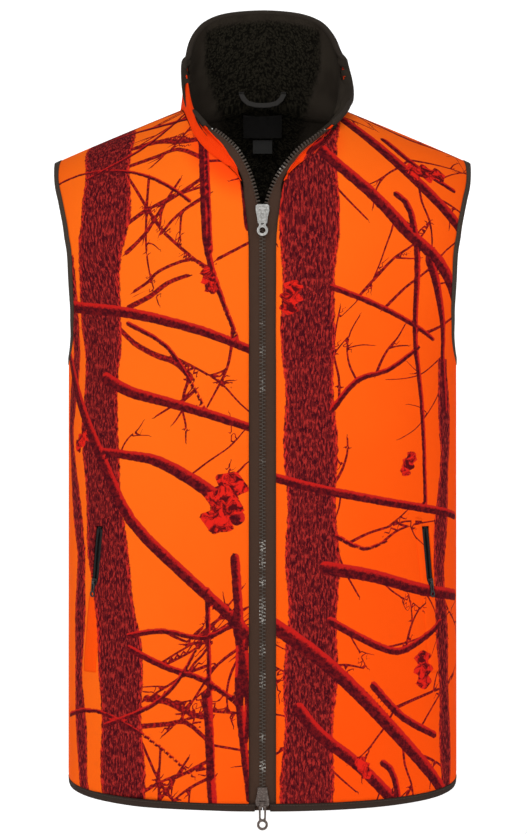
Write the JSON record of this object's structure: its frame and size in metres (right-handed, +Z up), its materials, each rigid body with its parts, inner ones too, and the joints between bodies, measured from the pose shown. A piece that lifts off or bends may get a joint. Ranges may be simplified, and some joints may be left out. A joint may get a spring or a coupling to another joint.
{
  "type": "zipped fleece vest",
  "caption": "Sleeveless blaze orange fleece vest with stand collar, two-way front zip, zipped hand pockets, bound armholes and hem, held in its worn shape.",
  "frame": {"origin": "middle of the shoulders, at the height where neck and shoulder meet", "axes": "+X to the wearer's left, +Y to the wearer's back, +Z up"},
  "size_m": [0.4172, 0.246, 0.8082],
  "materials": {
    "camo_shell": "bonded fleece face, blaze orange printed with a tree and branch camouflage in maroon",
    "sherpa_lining": "short pebbled charcoal pile, smooth facings at the collar's front edges",
    "binding": "dark brown knit stretch binding, folded over the raw edge and stitched",
    "zip_tape": "woven polyester zip tape, dark olive brown",
    "zip_teeth": "moulded acetal teeth, dark grey with bright worn faces",
    "slider_silver": "die-cast zinc, nickel plated, satin",
    "slider_brown": "die-cast zinc, dark brown enamel",
    "pocket_slider": "die-cast zinc, black enamel",
    "pocket_zip": "black woven tape with a nylon coil on its back",
    "pocket_lining": "black tricot pocketing",
    "loop_tape": "charcoal twill tape",
    "label": "plain woven satin label without lettering"
  },
  "bodies": {
    "vest": {"left_front_shell": "camo_shell", "right_front_shell": "camo_shell", "back_shell": "camo_shell", "left_front_lining": "sherpa_lining", "right_front_lining": "sherpa_lining", "back_lining": "sherpa_lining", "collar_shell": "camo_shell", "collar_lining": "sherpa_lining", "left_armhole_binding": "binding", "right_armhole_binding": "binding", "hem_binding": "binding", "left_zip_tape": "zip_tape", "right_zip_tape": "zip_tape", "left_zip_teeth": "zip_teeth", "right_zip_teeth": "zip_teeth", "left_top_stop": "slider_silver", "right_top_stop": "slider_silver", "left_bottom_pin": "zip_teeth", "right_bottom_pin": "zip_teeth", "left_pocket_welt": "camo_shell", "left_pocket_bag": "pocket_lining", "left_pocket_zip_tape": "pocket_zip", "left_pocket_coil": "pocket_zip", "left_pocket_stops": "pocket_zip", "right_pocket_welt": "camo_shell", "right_pocket_bag": "pocket_lining", "right_pocket_zip_tape": "pocket_zip", "right_pocket_coil": "pocket_zip", "right_pocket_stops": "pocket_zip", "loop_anchors": "loop_tape", "main_label": "label"},
    "top_slider": {"top_slider": "slider_silver"},
    "top_pull": {"top_slider_pull": "slider_silver"},
    "bottom_slider": {"bottom_slider": "slider_brown"},
    "bottom_pull": {"bottom_slider_pull": "slider_brown"},
    "left_pocket_slider": {"left_pocket_slider": "pocket_slider"},
    "left_pocket_pull": {"left_pocket_pull": "pocket_slider"},
    "right_pocket_slider": {"right_pocket_slider": "pocket_slider"},
    "right_pocket_pull": {"right_pocket_pull": "pocket_slider"},
    "hang_loop": {"hang_loop": "loop_tape"},
    "size_label": {"size_label": "label"}
  },
  "joints": [
    {"name": "top_slider_travel", "type": "slide", "parent": "vest", "child": "top_slider", "axis": [0, 0, -1], "range_m": [0, 0.33], "deforming": ["left_zip_teeth", "right_zip_teeth"]},
    {"name": "top_pull_swing", "type": "hinge", "parent": "top_slider", "child": "top_pull", "pos_m": [0, -0.1238, -0.11], "axis": [-1, 0, 0], "range_deg": [0, 150]},
    {"name": "bottom_slider_travel", "type": "slide", "parent": "vest", "child": "bottom_slider", "axis": [0, 0, 1], "range_m": [0, 0.2], "deforming": ["left_zip_teeth", "right_zip_teeth"]},
    {"name": "bottom_pull_swing", "type": "hinge", "parent": "bottom_slider", "child": "bottom_pull", "pos_m": [0, -0.1238, -0.671], "axis": [-1, 0, 0], "range_deg": [0, 160]},
    {"name": "left_pocket_travel", "type": "slide", "parent": "vest", "child": "left_pocket_slider", "axis": [0.0897, 0.0851, -0.9923], "range_m": [-0.048, 0.068], "deforming": ["left_pocket_zip_tape", "left_pocket_coil"]},
    {"name": "left_pocket_pull_swing", "type": "hinge", "parent": "left_pocket_slider", "child": "left_pocket_pull", "pos_m": [0.16289, -0.07939, -0.46519], "axis": [-0.7198, -0.6831, -0.1236], "range_deg": [0, 150]},
    {"name": "right_pocket_travel", "type": "slide", "parent": "vest", "child": "right_pocket_slider", "axis": [-0.0897, 0.0851, -0.9923], "range_m": [-0.048, 0.068], "deforming": ["right_pocket_zip_tape", "right_pocket_coil"]},
    {"name": "right_pocket_pull_swing", "type": "hinge", "parent": "right_pocket_slider", "child": "right_pocket_pull", "pos_m": [-0.16289, -0.07939, -0.46519], "axis": [-0.7198, 0.6831, 0.1236], "range_deg": [0, 150]},
    {"name": "hang_loop_swing", "type": "hinge", "parent": "vest", "child": "hang_loop", "pos_m": [0, 0.046, 0.0225], "axis": [-1, 0, 0], "range_deg": [0, 80]},
    {"name": "size_label_swing", "type": "hinge", "parent": "vest", "child": "size_label", "pos_m": [0, 0.08326, -0.02074], "axis": [-1, 0, 0], "range_deg": [0, 60]}
  ]
}
